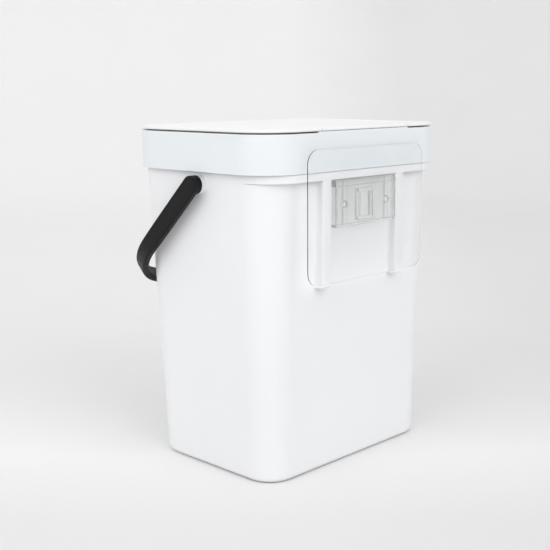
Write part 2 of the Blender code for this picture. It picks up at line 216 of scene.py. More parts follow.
class BracketSizes(PropertyGroup):
    plate: length("Back plate thickness", 0.0022)
    relief: length("Relief", 0.0012, "How far edges, strips and window frame stand out behind the panel")
    side: length("Side wall thickness", 0.0010)
    narrow: length("Side clearance", 0.0016, "How far each side stands in from the widest outline")
    front: length("Side wall front", 0.0908)
    lip: length("Bottom lip", 0.0012)
    lift: length("Lip lift", 0.0012, "How far the bottom lip sits above the bracket's lowest point")
    tongue_half: length("Tongue half width", 0.0405)
    tongue_front: length("Tongue front", 0.0889)
    tongue_back: length("Tongue back", 0.0919)
    top: length("Shoulder top", 0.2697)
    shoulder: length("Shoulder height", 0.0060)
    shoulder_step: length("Shoulder step", 0.0002, "How far the shoulder stays in front of the panel's back")
    tongue_root: length("Tongue root", 0.0010, "How far above the shoulder's foot the tongue starts")
    window_half: length("Window half width", 0.0085)
    window_bottom: length("Window bottom", 0.2345)
    window_top: length("Window top", 0.2575)
    window_frame: length("Window frame", 0.0030)
    screw_x: length("Screw hole from the middle", 0.0292)
    screw_z: length("Screw hole height", 0.2475)
    screw_radius: length("Screw hole radius", 0.0028)
    screw_boss: length("Screw boss radius", 0.0036)
    screw_sink: length("Screw recess", 0.0010, "How far a screw boss stands back from the front")
    countersink: length("Countersink", 0.0012, "Depth of the countersink, and its extra radius")
    strip_half: length("Screw strip half width", 0.0030, "Raised upright strip under a screw boss")
    strip_front: length("Screw strip front", 0.0008, "How far a strip stands out in front of the panel")
    strip_back: length("Screw strip back", 0.0006, "How far a strip stands out behind the panel")
    edge: length("Edge rounding", 0.0003)
    plate_radius: length("Adhesive plate corner radius", 0.013)
    plate_edge: length("Adhesive plate edge", 0.00018)
    pad_radius: length("Pad corner radius", 0.0020)
    pad_edge: length("Pad edge", 0.00010)


class Finishes(PropertyGroup):
    bucket: colour("Bucket white", (0.826, 0.831, 0.848))
    frame: colour("Frame white", (0.757, 0.790, 0.815))
    lid: colour("Lid white", (0.850, 0.850, 0.847))
    handle: colour("Handle black", (0.0060, 0.0060, 0.0065))
    steel: colour("Pin steel", SLOT_COLOURS["pin_steel"][:3])
    bracket: colour("Bracket tint", (0.998, 0.998, 0.994))
    pad: colour("Pad tint", (0.998, 0.998, 0.997))
    plate: colour("Plate tint", (0.967, 0.970, 0.971))
    satin: share("Satin roughness", 0.42)
    lid_polish: share("Lid polish", 0.03, "How much smoother the lid is than the bucket")
    handle_satin: share("Handle roughness", 0.46)
    handle_grain: number("Handle grain", 1900.0)
    handle_depth: length("Handle grain depth", 0.00003)
    handle_marks: share("Handle rub marks", 0.07)
    handle_shine: share("Handle shine", 0.18)
    bracket_satin: share("Bracket roughness", 0.07)
    bracket_haze: share("Bracket haze", 0.17, "How milky the bracket's plastic is")
    plate_ior: number("Plate refraction", 1.40)
    pad_ior: number("Pad refraction", 1.06, "Low, because the pad touches its neighbours with no air between")
    wear: share("Wear", 0.35, "How strongly rub marks change the gloss")


class StageSettings(PropertyGroup):
    lens: number("Lens in millimetres", 66.35)
    shift_x: number("Lens shift sideways", -0.029818)
    shift_y: number("Lens shift upwards", -0.014727)
    camera_x: length("Camera right of the caddy", 0.7096)
    camera_y: length("Camera behind the caddy", 0.6833)
    camera_z: length("Camera height", 0.3537)
    yaw: angle("Camera yaw", math.radians(46.12))
    pitch: angle("Camera pitch", math.radians(10.26))
    roll: angle("Camera roll", math.radians(-0.30))
    light_swing: angle("Light swing", math.radians(38), "Angle from camera to light, seen from above")
    light_height: angle("Light elevation", math.radians(31))
    light_distance: length("Light distance", 1.6)
    light_size: length("Light size", 1.1)
    aim_height: length("Aim height", 0.16, "Height of the point that the lights face")
    left_watts: number("Left light", 6.6)
    right_watts: number("Right light", 8.0)
    fill: number("Fill light", 0.935)
    floor_radius: length("Flat floor radius", 2.0)
    floor_gap: length("Floor gap", 0.0004, "How far the floor lies below the caddy")
    sweep: length("Sweep radius", 1.0, "Radius of the curve from floor to backdrop")
    backdrop: length("Backdrop height", 1.2, "Upright wall above the curve")
    upper_paper: colour("Backdrop colour", (0.975, 0.975, 0.975))
    # Painted shade: the paper is made darker towards the right.
    painted_right_shade: share("Right shade", 0.10, "How much darker the paper gets towards the right")
    sweep_steps: count("Sweep steps", 24)
    sweep_sides: count("Sweep sides", 96)


GROUPS = {
    "caddy_bucket": BucketSizes,
    "caddy_frame_lid": FrameAndLidSizes,
    "caddy_handle": HandleSizes,
    "caddy_bracket": BracketSizes,
    "caddy_finishes": Finishes,
    "caddy_stage": StageSettings,
}


# Shapes


def eased(part):
    """0 to 1 for 0 to 1, with a level start and end."""
    return part * part * (3 - 2 * part)


def outline(half_x, front, back, radius, z, steps=16):
    """A rounded rectangle at height z, anticlockwise from its +X side."""
    corners = (
        (half_x - radius, back - radius, 0),
        (radius - half_x, back - radius, 90),
        (radius - half_x, front + radius, 180),
        (half_x - radius, front + radius, 270),
    )
    points = []
    for centre_x, centre_y, start in corners:
        for step in range(steps + 1):
            turn = math.radians(start + 90 * step / steps)
            x, y = centre_x + radius * math.cos(turn), centre_y + radius * math.sin(turn)
            points.append(Vector((x, y, z)))
    return points


def inset(shape, distance):
    """A rounded rectangle's sizes, moved in by a distance."""
    half_x, front, back, radius = shape
    return (half_x - distance, front + distance, back - distance, max(radius - distance, 0.0005))


def quarter(radius, steps=6):
    """(inset, rise) pairs of a rounded edge that starts flat and ends upright."""
    turns = [math.pi / 2 * step / steps for step in range(steps + 1)]
    return [(radius * (1 - math.sin(turn)), radius * (1 - math.cos(turn))) for turn in turns]


def merge_close(shape):
    bmesh.ops.remove_doubles(shape, verts=shape.verts, dist=CLOSE)
    bmesh.ops.dissolve_degenerate(shape, edges=shape.edges, dist=CLOSE)


def mesh_of(name, shape):
    """Makes a bmesh into a clean mesh with its faces turned outwards, and frees it."""
    merge_close(shape)
    bmesh.ops.recalc_face_normals(shape, faces=shape.faces)
    mesh = bpy.data.meshes.new(name)
    shape.to_mesh(mesh)
    shape.free()
    return mesh


def new_piece(name, mesh):
    piece = bpy.data.objects.new(name, mesh)
    bpy.context.scene.collection.objects.link(piece)
    return piece


def loft(name, rings, ends=(0, -1)):
    """A piece through rings of equal length, with a cap at each end named, or else joined end to end."""
    shape = bmesh.new()
    rows = [[shape.verts.new(point) for point in ring] for ring in rings]
    pairs = list(zip(rows, rows[1:]))
    if not ends:
        pairs.append((rows[-1], rows[0]))
    for end in ends:
        shape.faces.new(rows[end])
    for lower, upper in pairs:
        for here in range(len(lower)):
            there = (here + 1) % len(lower)
            shape.faces.new((lower[here], lower[there], upper[there], upper[here]))
    return new_piece(name, mesh_of(name, shape))


def turned(name, profile, axis="X", sides=48, centre=(0, 0, 0), ends=(0, -1)):
    """A shape turned about an axis through centre, from (distance along the axis, radius) pairs."""
    rings = []
    for along, radius in profile:
        ring = []
        for side in range(sides):
            turn = math.tau * side / sides
            across, up = radius * math.cos(turn), radius * math.sin(turn)
            offset = {"X": (along, across, up), "Y": (across, along, up), "Z": (across, up, along)}[axis]
            ring.append(Vector(centre) + Vector(offset))
        rings.append(ring)
    return loft(name, rings, ends)


def soft_box(name, low, high, edge=0.0):
    """A box whose edges are rounded by edge."""
    shape = bmesh.new()
    bmesh.ops.create_cube(shape, size=1)
    size = Vector(high) - Vector(low)
    middle = (Vector(high) + Vector(low)) / 2
    place = Matrix.Translation(middle) @ Matrix.Diagonal((*size, 1))
    bmesh.ops.transform(shape, matrix=place, verts=shape.verts)
    if edge:
        bmesh.ops.bevel(shape, geom=shape.edges[:], offset=edge, segments=3, profile=0.5, affect="EDGES")
    return new_piece(name, mesh_of(name, shape))


def combine(target, helpers, operation):
    """Adds the helpers to target, or cuts them from it, for good. The helpers go."""
    for helper in helpers:
        step = target.modifiers.new(helper.name, "BOOLEAN")
        step.operation = operation
        step.solver = "EXACT"
        step.object = helper
    bpy.context.view_layer.update()
    evaluated = target.evaluated_get(bpy.context.evaluated_depsgraph_get())
    made = bpy.data.meshes.new_from_object(evaluated)
    target.modifiers.clear()
    target.data = made
    for helper in helpers:
        bpy.data.objects.remove(helper, do_unlink=True)


def finish_piece(piece, paint, body, cad_node):
    """Shades a piece, gives it its finish, and lets it stand for its CAD node on a body."""
    shape = bmesh.new()
    shape.from_mesh(piece.data)
    merge_close(shape)
    shape.to_mesh(piece.data)
    shape.free()
    piece.data.validate()
    piece.data.materials.clear()
    piece.data.materials.append(paint)
    piece.data.shade_smooth()
    piece.data.set_sharp_from_angle(angle=SHARP)
    smooth = piece.modifiers.new("even shading", "WEIGHTED_NORMAL")
    smooth.keep_sharp = True
    smooth.weight = 100
    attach(piece, body)
    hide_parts(cad_node)


def both_sides(low, high):
    """The span from low to high on the left, which is +X, and its mirror image on the right."""
    return (("left", low, high), ("right", -high, -low))


def sided(profile, side):
    """A turned profile on the left, where side is 1, or its mirror image on the right."""
    return [(side * along, radius) for along, radius in profile]


def bucket_shape(sizes, z):
    """The bucket's outer outline at height z. It tapers up to the lid frame and runs straight behind it."""
    part = min(z / FRAME[0].z, 1.0)
    low = (sizes.base_half, sizes.base_front, sizes.base_back, sizes.base_radius)
    high = (sizes.top_half, sizes.top_front, sizes.top_back, sizes.top_radius)
    return tuple(a + (b - a) * part for a, b in zip(low, high))


def outside(point, shape):
    """Distance from a point to a rounded rectangle, negative inside it."""
    half_x, front, back, radius = shape
    across = abs(point.x) - half_x + radius
    along = abs(point.y - (front + back) / 2) - (back - front) / 2 + radius
    return Vector((max(across, 0), max(along, 0))).length + min(max(across, along), 0) - radius


def push_out(point, normal, shape):
    """How far a point moves along its normal to reach the outline around it, or 0 outside it."""
    if outside(point, shape) >= 0:
        return 0.0
    low, high = 0.0, FARTHEST
    for _ in range(HALVINGS):
        middle = (low + high) / 2
        if outside(point + normal * middle, shape) < 0:
            low = middle
        else:
            high = middle
    return high


# Finishes


def new_finish(name):
    paint = bpy.data.materials.new(name)
    paint.use_nodes = True
    tree = paint.node_tree
    return paint, tree, tree.nodes["Principled BSDF"]


def node(tree, kind, **values):
    """A new node. Each key is one of its settings, or else an input's name with _ for a space."""
    made = tree.nodes.new(kind)
    for key, value in values.items():
        if hasattr(made, key):
            setattr(made, key, value)
        else:
            made.inputs[key.replace("_", " ")].default_value = value
    return made


def noise(tree, scale, detail=3.0, stretch=(1, 1, 1), roughness=0.55):
    """Fractal noise in the piece's own metres, stretched along an axis where asked."""
    place = node(tree, "ShaderNodeTexCoord")
    mapping = node(tree, "ShaderNodeMapping", Scale=stretch)
    tree.links.new(place.outputs["Object"], mapping.inputs["Vector"])
    made = node(tree, "ShaderNodeTexNoise", Scale=scale, Detail=detail, Roughness=roughness)
    tree.links.new(mapping.outputs["Vector"], made.inputs["Vector"])
    return made.outputs["Fac"]


def ranged(tree, source, low, high, from_low=0.3, from_high=0.7):
    """Maps a value from one range to another. Noise mostly lies between 0.3 and 0.7."""
    made = node(tree, "ShaderNodeMapRange", From_Min=from_low, From_Max=from_high, To_Min=low, To_Max=high)
    tree.links.new(source, made.inputs["Value"])
    return made.outputs["Result"]


def feed(tree, socket, value):
    """Links a socket to another node's output, or sets it to a number or a colour."""
    if hasattr(value, "links"):
        tree.links.new(value, socket)
    else:
        socket.default_value = value if isinstance(value, float) else (*value, 1)


def blended(tree, share_of_second, first, second):
    made = node(tree, "ShaderNodeMix", data_type="RGBA")
    for key, value in ((6, first), (7, second), (0, share_of_second)):
        feed(tree, made.inputs[key], value)
    return made.outputs[2]


def summed(tree, first, second):
    made = node(tree, "ShaderNodeMath", operation="ADD")
    feed(tree, made.inputs[0], first)
    feed(tree, made.inputs[1], second)
    return made.outputs[0]


def bumped(tree, shader, height, strength, depth, under=None):
    """Gives the shader a fine relief, on top of another relief where there is one."""
    bump = node(tree, "ShaderNodeBump", Strength=strength, Distance=depth)
    tree.links.new(height, bump.inputs["Height"])
    if under:
        tree.links.new(under.outputs["Normal"], bump.inputs["Normal"])
    tree.links.new(bump.outputs["Normal"], shader.inputs["Normal"])
    return bump


def shaded(tone, factor):
    return tuple(min(1.0, part * factor) for part in tone)


def moulded_plastic(name, tone, roughness, wear, grain=2600.0, depth=0.00002, marks=0.05, shine=0.5):
    """Moulded polypropylene: slow drifts of tone, a fine spark-eroded grain, and faint rub marks."""
    paint, tree, shader = new_finish(name)
    drift = ranged(tree, noise(tree, 9.0, 2.0), 0.0, 1.0)
    speckle = ranged(tree, noise(tree, 420.0, 4.0), 0.0, 0.35, 0.52, 0.72)
    base = blended(tree, drift, shaded(tone, 0.992), shaded(tone, 1.008))
    tree.links.new(blended(tree, speckle, base, shaded(tone, 0.985)), shader.inputs["Base Color"])
    rubs = ranged(tree, noise(tree, 60.0, 5.0, (1.0, 1.0, 5.0)), -marks, marks)
    scuffs = ranged(tree, noise(tree, 240.0, 6.0, (1.0, 6.0, 1.0), 0.7), 0.0, wear * 0.25, 0.62, 0.78)
    gloss = summed(tree, summed(tree, rubs, roughness), scuffs)
    tree.links.new(gloss, shader.inputs["Roughness"])
    waves = bumped(tree, shader, noise(tree, 14.0, 1.0), 0.10, 0.0006)
    bumped(tree, shader, noise(tree, grain, 2.0), 0.35, depth, waves)
    shader.inputs["IOR"].default_value = 1.49
    shader.inputs["Specular IOR Level"].default_value = shine
    return paint


def clear_plastic(name, tone, roughness, wear, haze=0.0, ior=1.49):
    """Clear moulded plastic: it refracts, is faintly tinted and scuffed, and lets the lamps' light pass."""
    paint, tree, shader = new_finish(name)
    drift = ranged(tree, noise(tree, 22.0, 3.0), 0.0, 1.0)
    base = blended(tree, drift, shaded(tone, 0.996), shaded(tone, 1.002))
    tree.links.new(base, shader.inputs["Base Color"])
    marks = ranged(tree, noise(tree, 300.0, 6.0, (1.0, 1.0, 4.0), 0.7), 0.0, wear * 0.2, 0.60, 0.80)
    tree.links.new(summed(tree, marks, roughness), shader.inputs["Roughness"])
    bumped(tree, shader, noise(tree, 45.0, 2.0), 0.12, 0.0002)
    shader.inputs["Transmission Weight"].default_value = 1.0 - haze
    shader.inputs["IOR"].default_value = ior
    passing = node(tree, "ShaderNodeBsdfTransparent", Color=(*tone, 1))
    path = node(tree, "ShaderNodeLightPath")
    mix = node(tree, "ShaderNodeMixShader")
    tree.links.new(path.outputs["Is Shadow Ray"], mix.inputs[0])
    tree.links.new(shader.outputs[0], mix.inputs[1])
    tree.links.new(passing.outputs[0], mix.inputs[2])
    tree.links.new(mix.outputs[0], tree.nodes["Material Output"].inputs["Surface"])
    return paint


def drawn_wire(name, tone):
    """Drawn steel wire, with fine streaks along its length."""
    paint, tree, shader = new_finish(name)
    streaks = noise(tree, 9000.0, 3.0, (0.02, 1.0, 1.0))
    base = blended(tree, ranged(tree, streaks, 0.0, 1.0), shaded(tone, 0.9), tone)
    tree.links.new(base, shader.inputs["Base Color"])
    tree.links.new(ranged(tree, streaks, 0.22, 0.38), shader.inputs["Roughness"])
    bumped(tree, shader, streaks, 0.3, 0.00002)
    shader.inputs["Metallic"].default_value = 1.0
    return paint


def stage_paper(name, front_turn, height, painted_floor_shade, upper_tone, painted_right_shade):
    """Matt paper with a faint mottle, and painted light and shade in its grey. Its grey follows the distance
    to the front, then the height, and darkens towards the right.
    """
    paint, tree, shader = new_finish(name)
    place = node(tree, "ShaderNodeTexCoord")
    turned_place = node(tree, "ShaderNodeMapping", Rotation=(0, 0, -front_turn))
    tree.links.new(place.outputs["Object"], turned_place.inputs["Vector"])
    parts = node(tree, "ShaderNodeSeparateXYZ")
    tree.links.new(turned_place.outputs["Vector"], parts.inputs[0])
    front, rear = painted_floor_shade[0][0], painted_floor_shade[-1][0]
    # A ramp of painted floor shade and light along the distance to the front.
    ramp = node(tree, "ShaderNodeValToRGB")
    tree.links.new(ranged(tree, parts.outputs["X"], 0.0, 1.0, front, rear), ramp.inputs["Fac"])
    stops = ramp.color_ramp.elements
    while len(stops) < len(painted_floor_shade):
        stops.new(1.0)
    for stop, (along, grey) in zip(stops, painted_floor_shade):
        stop.position = (along - front) / (rear - front)
        stop.color = (grey, grey, grey, 1)
    # Up the sweep, the painted floor grey gives way to the backdrop colour.
    rise = ranged(tree, parts.outputs["Z"], 0.0, 1.0, 0.0, height)
    sweep = blended(tree, rise, ramp.outputs["Color"], upper_tone)
    # Painted shade: the paper darkens towards the right.
    right = ranged(tree, parts.outputs["Y"], 0.0, painted_right_shade, 0.0, 0.4)
    mottle = ranged(tree, noise(tree, 5.0, 3.0), 0.0, 0.012)
    # The painted shade towards the right plus the random mottle darken the base colour.
    shade = summed(tree, right, mottle)
    tree.links.new(blended(tree, shade, sweep, (0.0, 0.0, 0.0)), shader.inputs["Base Color"])
    tree.links.new(ranged(tree, noise(tree, 30.0, 2.0), 0.88, 0.95), shader.inputs["Roughness"])
    bumped(tree, shader, noise(tree, 700.0, 2.0), 0.1, 0.0002)
    shader.inputs["Specular IOR Level"].default_value = 0.15
    return paint


# Operators


class CADDY_OT_stage(Operator):
    """Sets out the pale floor and backdrop, the two soft lights and the camera"""

    bl_idname = "caddy.stage"
    bl_label = "Stage"

    def execute(self, context):
        settings = context.scene.caddy_stage
        wall = settings.floor_radius + settings.sweep
        curve = quarter(settings.sweep, settings.sweep_steps)
        profile = [(0.0, 0.02)] + [(rise, wall - inward) for inward, rise in curve]
        profile.append((settings.sweep + settings.backdrop, wall))
        floor = turned("studio_sweep", profile, "Z", settings.sweep_sides, ends=(0,))
        forward = math.atan2(settings.camera_y, settings.camera_x)
        # Painted light and shade for the paper: the floor greys, the backdrop colour and the painted shade
        # towards the right.
        tones = (PAINTED_FLOOR_SHADING, settings.upper_paper, settings.painted_right_shade)
        floor.data.materials.append(stage_paper("stage paper", forward, settings.sweep * 0.5, *tones))
        floor.data.shade_smooth()
        floor.location.z = BUCKET[0].z - settings.floor_gap

        world = bpy.data.worlds.new("studio")
        world.use_nodes = True
        tree = world.node_tree
        sky = tree.nodes["Background"]
        sky.inputs["Strength"].default_value = settings.fill
        place = node(tree, "ShaderNodeTexCoord")
        parts = node(tree, "ShaderNodeSeparateXYZ")
        tree.links.new(place.outputs["Generated"], parts.inputs[0])
        rise = ranged(tree, parts.outputs["Z"], 0.0, 1.0, 0.0, 0.8)
        tree.links.new(blended(tree, rise, (0.97, 0.97, 0.97), (1.0, 1.0, 1.0)), sky.inputs["Color"])
        context.scene.world = world

        aim = Vector((0, 0, settings.aim_height))
        level, lift = math.cos(settings.light_height), math.sin(settings.light_height)
        for name, side, watts in (("left", -1, settings.left_watts), ("right", 1, settings.right_watts)):
            lamp = bpy.data.lights.new(f"{name} softbox", "AREA")
            lamp.shape = "SQUARE"
            lamp.size = settings.light_size
            lamp.energy = watts
            stand = bpy.data.objects.new(f"{name} softbox", lamp)
            turn = forward + side * settings.light_swing
            way = Vector((math.cos(turn) * level, math.sin(turn) * level, lift))
            stand.location = aim + way * settings.light_distance
            stand.rotation_mode = "QUATERNION"
            stand.rotation_quaternion = (aim - stand.location).to_track_quat("-Z", "Y")
            stand.visible_camera = False
            context.scene.collection.objects.link(stand)

        lens = bpy.data.cameras.new("camera")
        lens.sensor_width = 36
        lens.lens = settings.lens
        lens.shift_x = settings.shift_x
        lens.shift_y = settings.shift_y
        lens.clip_start = 0.02
        camera = bpy.data.objects.new("camera", lens)
        context.scene.collection.objects.link(camera)
        yaw, level = settings.yaw, math.cos(settings.pitch)
        ahead = Vector((-math.sin(yaw) * level, -math.cos(yaw) * level, -math.sin(settings.pitch)))
        side = ahead.cross(Vector((0, 0, 1))).normalized()
        above = side.cross(ahead)
        across = side * math.cos(settings.roll) + above * math.sin(settings.roll)
        upright = above * math.cos(settings.roll) - side * math.sin(settings.roll)
        place = Matrix((across, upright, -ahead)).transposed().to_4x4()
        place.translation = (settings.camera_x, settings.camera_y, settings.camera_z)
        camera.matrix_world = place
        context.scene.camera = camera
        context.scene.view_settings.view_transform = "Standard"
        return {"FINISHED"}


class CADDY_OT_bucket(Operator):
    """Builds the tapered bucket with its ledge, ribs, bosses and slot"""

    bl_idname = "caddy.bucket"
    bl_label = "Bucket"

    def execute(self, context):
        sizes = context.scene.caddy_bucket
        finishes = context.scene.caddy_finishes
        steps = sizes.corner_steps
        base = bucket_shape(sizes, 0)

        def ring(z, distance=0.0):
            return outline(*inset(bucket_shape(sizes, z), distance), z, steps)

        underside = [(sizes.foot + sizes.base_rim + sizes.base_slope, sizes.base_recess)]
        underside += [(sizes.foot + sizes.base_rim, 0.0), *quarter(sizes.foot, 8)]
        rings = [outline(*inset(base, inward), rise, steps) for inward, rise in underside]
        rings += [ring(z) for z in WALL_LEVELS]

        under, rim, top = sizes.ledge_bottom, BUCKET[1].z, FRAME[0].z - GAP
        ledge_half = bucket_shape(sizes, under)[0] - sizes.ledge_lap
        ledge = (ledge_half, sizes.ledge_front, BUCKET[1].y, sizes.ledge_radius)
        normals = []
        for corner in range(4):
            for step in range(steps + 1):
                turn = math.radians(90 * corner + 90 * step / steps)
                normals.append(Vector((math.cos(turn), math.sin(turn), 0)))

        def ledge_ring(z, edge=0.0, most=FARTHEST):
            """The outline at z, moved out to the ledge's face but for edge, and no further than most."""
            moved = []
            for point, normal in zip(ring(z), normals):
                reach = push_out(point, normal, ledge)
                moved.append(point + normal * min(max(reach - edge, 0.0), most))
            return moved

        rings += [ledge_ring(under + rise, most=most) for rise, most in LEDGE_HOLLOW]
        rings += [ledge_ring(under + rise, inward) for inward, rise in quarter(sizes.ledge_round, 5)]
        rings += [ledge_ring(top), ring(top)]
        rings += [ring(rim - drop, inward) for drop, inward in RIM_EDGE]
        rings += [ring(rim - drop, sizes.wall - inward) for drop, inward in reversed(RIM_EDGE)]
        rings += [ring(z, sizes.wall) for z in (top, *INNER_LEVELS)]
        for inward, rise in reversed(quarter(sizes.foot - sizes.wall)):
            rings.append(ring(sizes.floor + rise, sizes.wall + inward))
        bucket = loft("bucket_body", rings)

        adds, cuts = [], []
        plane = BUCKET[1].y - 2 * HAIR
        levels = [(sizes.rib_bottom + rise, inward) for inward, rise in quarter(sizes.rib_foot, 5)]
        levels += [(sizes.rib_bottom + rise, 0.0) for rise in RIB_LEVELS]
        levels.append((under + sizes.rib_lap, 0.0))
        for name, low, high in both_sides(sizes.rib_inner, sizes.rib_outer):
            sections = []
            for z, back in levels:
                wall_y = bucket_shape(sizes, z)[2] - 5 * HAIR
                sections.append(rib_section(sizes, low, high, wall_y, plane - back, z))
            adds.append(loft(f"rib_{name}", sections))
        wall_x = bucket_shape(sizes, PIVOT.z)[0]
        face, radius = context.scene.caddy_handle.hub_inner - GAP, sizes.boss_radius
        boss = [(wall_x - sizes.wall / 2, radius + BOSS_FOOT[0][1])]
        boss += [(wall_x + rise, radius + spread) for rise, spread in BOSS_FOOT]
        boss += [(face - rise, radius - inward) for inward, rise in reversed(quarter(sizes.boss_edge, 4))]
        hole = [(wall_x - 3 * CUT_OVER, sizes.hole_radius), (face + CUT_OVER, sizes.hole_radius)]
        for name, side in SIDES:
            adds.append(turned(f"boss_{name}", sided(boss, side), centre=(0, PIVOT.y, PIVOT.z)))
            cuts.append(turned(f"peg_hole_{name}", sided(hole, side), centre=(0, PIVOT.y, PIVOT.z)))
        low = (-sizes.slot_half, sizes.slot_front, under - CUT_OVER)
        cuts.append(soft_box("slot", low, (sizes.slot_half, sizes.slot_back, top + CUT_OVER)))
        combine(bucket, adds, "UNION")
        combine(bucket, cuts, "DIFFERENCE")
        paint = moulded_plastic("bucket polypropylene", finishes.bucket, finishes.satin, finishes.wear)
        finish_piece(bucket, paint, "bin", "bucket")
        return {"FINISHED"}


def rib_section(sizes, low, high, wall_y, plane, z):
    """A rib's outline at height z: hollow corners at the wall, rounded edges at its face."""
    points = [(low - sizes.rib_fillet, wall_y - sizes.rib_root)]
    points += [(low - inward, wall_y + rise) for inward, rise in quarter(sizes.rib_fillet, 4)]
    points += [(low + rise, plane - inward) for inward, rise in quarter(sizes.rib_round)]
    points += [(low + high - x, y) for x, y in reversed(points)]
    return [Vector((x, y, z)) for x, y in points]


class CADDY_OT_lid_frame(Operator):
    """Builds the lid frame that snaps over the bucket's rim, with its hinge ridge and ears"""

    bl_idname = "caddy.lid_frame"
    bl_label = "Lid frame"

    def execute(self, context):
        sizes = context.scene.caddy_frame_lid
        bucket = context.scene.caddy_bucket
        finishes = context.scene.caddy_finishes
        bottom, top, foot = FRAME[0].z, sizes.frame_top, sizes.leg_bottom
        wall, edge = sizes.frame_wall, sizes.frame_under
        leg, corner, under = sizes.leg_wall, sizes.leg_edge, top - sizes.frame_web
        outer = (FRAME[1].x, FRAME[0].y, FRAME[1].y, sizes.corner)
        inner = inset(inset(bucket_shape(bucket, top), bucket.wall), sizes.leg_gap)
        skirt = [(wall, bottom + edge), (wall - edge, bottom)]
        skirt += [(inward, bottom + rise) for inward, rise in quarter(edge, 4)]
        skirt += [(0.0, bottom + rise) for rise in FRAME_LEVELS]
        skirt += [(inward, top - rise) for inward, rise in reversed(quarter(sizes.frame_edge))]
        rings = [outline(*inset(outer, inward), z) for inward, z in skirt]
        inner_leg = [(leg - corner, top), (leg, top - corner), (leg, foot + corner), (leg - corner, foot)]
        inner_leg += [(corner, foot), (0.0, foot + corner), (0.0, under)]
        rings += [outline(*inset(inner, inward), z) for inward, z in inner_leg]
        rings.append(outline(*inset(outer, wall), under))
        lid_frame = loft("lid_frame_ring", rings, ends=())

        half, centre = sizes.ridge_half, (0, HINGE.y, HINGE.z)
        low = (-half, sizes.ridge_front, top - 2 * SINK)
        adds = [soft_box("ridge", low, (half, FRAME[1].y - 10 * HAIR, sizes.ridge_top), sizes.ridge_edge)]
        cuts = []
        for name, low_x, high_x in both_sides(half - sizes.ear_width, half - 10 * HAIR):
            low = (low_x, HINGE.y - sizes.ear_half, top - SINK)
            adds.append(soft_box(f"ear_{name}", low, (high_x, HINGE.y - sizes.ear_back, HINGE.z)))
            knuckle = [(low_x, sizes.ear_half), (high_x, sizes.ear_half)]
            adds.append(turned(f"knuckle_{name}", knuckle, sides=40, centre=centre))
            bore = [(low_x - SINK, sizes.bore), (high_x + SINK, sizes.bore)]
            cuts.append(turned(f"ear_bore_{name}", bore, sides=24, centre=centre))
        combine(lid_frame, adds, "UNION")
        combine(lid_frame, cuts, "DIFFERENCE")
        paint = moulded_plastic("frame polypropylene", finishes.frame, finishes.satin, finishes.wear)
        finish_piece(lid_frame, paint, "bin", "lid_frame")
        return {"FINISHED"}


class CADDY_OT_lid(Operator):
    """Builds the lid with its rolled edge, dished top and skirt"""

    bl_idname = "caddy.lid"
    bl_label = "Lid"

    def execute(self, context):
        sizes = context.scene.caddy_frame_lid
        bucket = context.scene.caddy_bucket
        finishes = context.scene.caddy_finishes
        outer = (LID[1].x, LID[0].y, LID[1].y, sizes.corner)
        plug_inset = bucket.wall + sizes.leg_gap + sizes.leg_wall + sizes.plug_gap
        plug = inset(bucket_shape(bucket, sizes.frame_top), plug_inset)
        under, top, foot = sizes.frame_top + sizes.lid_gap, LID[1].z, LID[0].z
        wall, slope = sizes.plug_wall, sizes.plug_slope
        skirt = [(wall + slope, under), (wall, under - slope), (wall, foot + sizes.plug_inner)]
        skirt += [(wall - sizes.plug_inner, foot), (sizes.plug_outer, foot)]
        skirt += [(0.0, foot + sizes.plug_outer), (0.0, under)]
        rings = [outline(*inset(plug, inward), z) for inward, z in skirt]
        panel = [(inward, under + rise) for inward, rise in quarter(sizes.lid_round)]
        panel += [(inward, top - rise) for inward, rise in reversed(quarter(sizes.lid_edge, 4))]
        for step in range(sizes.dish_steps + 1):
            part = step / sizes.dish_steps
            across = sizes.dish_start + (sizes.dish_end - sizes.dish_start) * part
            panel.append((across, top - sizes.dish_depth * eased(part)))
        rings += [outline(*inset(outer, inward), z) for inward, z in panel]
        lid = loft("lid_panel", rings)
        cuts = []
        notch = (sizes.ridge_half - sizes.ear_width - GAP, sizes.ridge_half + GAP)
        for name, low_x, high_x in both_sides(*notch):
            low = (low_x, HINGE.y - sizes.ear_half - sizes.ear_room, under - SINK)
            cuts.append(soft_box(f"ear_notch_{name}", low, (high_x, LID[1].y + SINK, top + SINK)))
        for name, low_x, high_x in both_sides(PIN[0].x - GAP, sizes.ridge_half):
            bore = [(low_x, sizes.bore), (high_x, sizes.bore)]
            cuts.append(turned(f"pin_bore_{name}", bore, sides=24, centre=(0, HINGE.y, HINGE.z)))
        combine(lid, cuts, "DIFFERENCE")
        gloss = finishes.satin - finishes.lid_polish
        paint = moulded_plastic("lid polypropylene", finishes.lid, gloss, finishes.wear)
        finish_piece(lid, paint, "lid", "lid")
        return {"FINISHED"}


class CADDY_OT_hinge_pins(Operator):
    """Builds the two wire pins that the lid turns on"""

    bl_idname = "caddy.hinge_pins"
    bl_label = "Hinge pins"

    def execute(self, context):
        paint = drawn_wire("drawn steel wire", context.scene.caddy_finishes.steel)
        radius = (PIN[1].z - PIN[0].z) / 2
        chamfer = radius * context.scene.caddy_frame_lid.pin_chamfer
        for name, low_x, high_x in both_sides(PIN[0].x, PIN[1].x):
            profile = [(low_x, radius - chamfer), (low_x + chamfer, radius)]
            profile += [(high_x - chamfer, radius), (high_x, radius - chamfer)]
            pin = turned(f"hinge_wire_{name}", profile, sides=32, centre=(0, HINGE.y, HINGE.z))
            finish_piece(pin, paint, "bin", f"hinge_pin_{name}")
        return {"FINISHED"}


